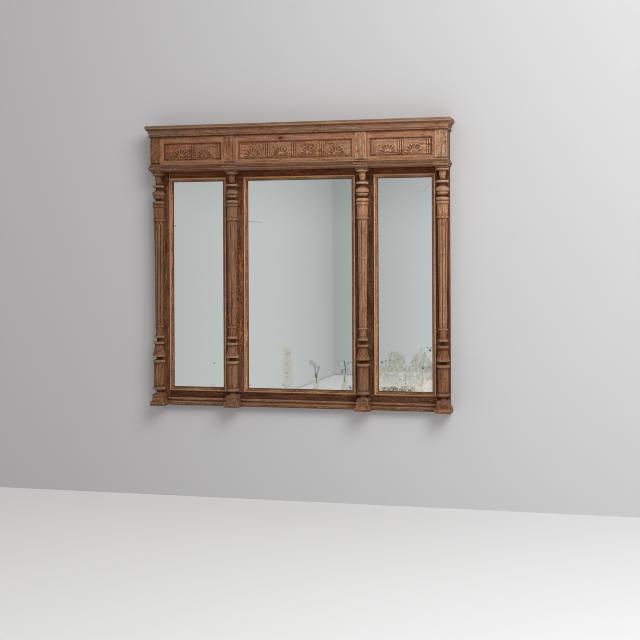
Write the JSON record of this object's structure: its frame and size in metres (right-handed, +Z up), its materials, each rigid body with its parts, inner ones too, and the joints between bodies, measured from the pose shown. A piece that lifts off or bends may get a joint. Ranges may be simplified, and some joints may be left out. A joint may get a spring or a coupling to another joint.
{
  "type": "overmantel mirror",
  "caption": "Wide oak wall mirror in three lights, with turned fluted columns, carved fan frieze, moulded cornice and plinths, and flush hanging plates at the back.",
  "frame": {"origin": "on the wall plane, at the middle of the foot of the bottom rail", "axes": "+X to the right as the viewer faces the mirrors, +Y into the wall, +Z up"},
  "size_m": [1.534, 0.144, 1.4],
  "materials": {
    "oak_front": "old stripped oak, dull wax",
    "oak_frame": "old dark oak, dull",
    "pine_back": "bare old pine",
    "silvered_glass": "aged silvering, spotted low down",
    "iron": "dull wrought iron"
  },
  "bodies": {
    "root": {"stile_left": "oak_frame", "stile_right": "oak_frame", "mullion_left": "oak_frame", "mullion_right": "oak_frame", "top_rail": "oak_frame", "bottom_rail": "oak_frame", "frame_pegs": "oak_frame", "mirror_left": "silvered_glass", "mirror_centre": "silvered_glass", "mirror_right": "silvered_glass", "bead_left": "oak_front", "bead_centre": "oak_front", "bead_right": "oak_front", "glass_packing_blocks": "pine_back", "backboard_left": "pine_back", "backboard_centre": "pine_back", "backboard_right": "pine_back", "backboard_rub_blocks": "pine_back", "column_outer_left": "oak_front", "column_inner_left": "oak_front", "column_inner_right": "oak_front", "column_outer_right": "oak_front", "plinth_outer_left": "oak_front", "plinth_inner_left": "oak_front", "plinth_inner_right": "oak_front", "plinth_outer_right": "oak_front", "abacus_outer_left": "oak_front", "abacus_inner_left": "oak_front", "abacus_inner_right": "oak_front", "abacus_outer_right": "oak_front", "base_moulding_left": "oak_front", "base_moulding_centre": "oak_front", "base_moulding_right": "oak_front", "base_return_left": "oak_front", "base_return_right": "oak_front", "soffit_board": "oak_frame", "frieze_board": "oak_front", "frieze_end_left": "oak_front", "frieze_end_right": "oak_front", "frieze_glue_blocks": "pine_back", "frieze_block_outer_left": "oak_front", "frieze_block_inner_left": "oak_front", "frieze_block_inner_right": "oak_front", "frieze_block_outer_right": "oak_front", "panel_frame_left": "oak_front", "panel_frame_centre": "oak_front", "panel_frame_right": "oak_front", "carved_panel_left": "oak_front", "carved_panel_centre": "oak_front", "carved_panel_right": "oak_front", "architrave_front": "oak_front", "architrave_return_left": "oak_front", "architrave_return_right": "oak_front", "cornice_front": "oak_front", "cornice_return_left": "oak_front", "cornice_return_right": "oak_front", "dust_board": "pine_back", "hanging_plates": "iron", "hanging_screws": "iron"}
  },
  "joints": []
}
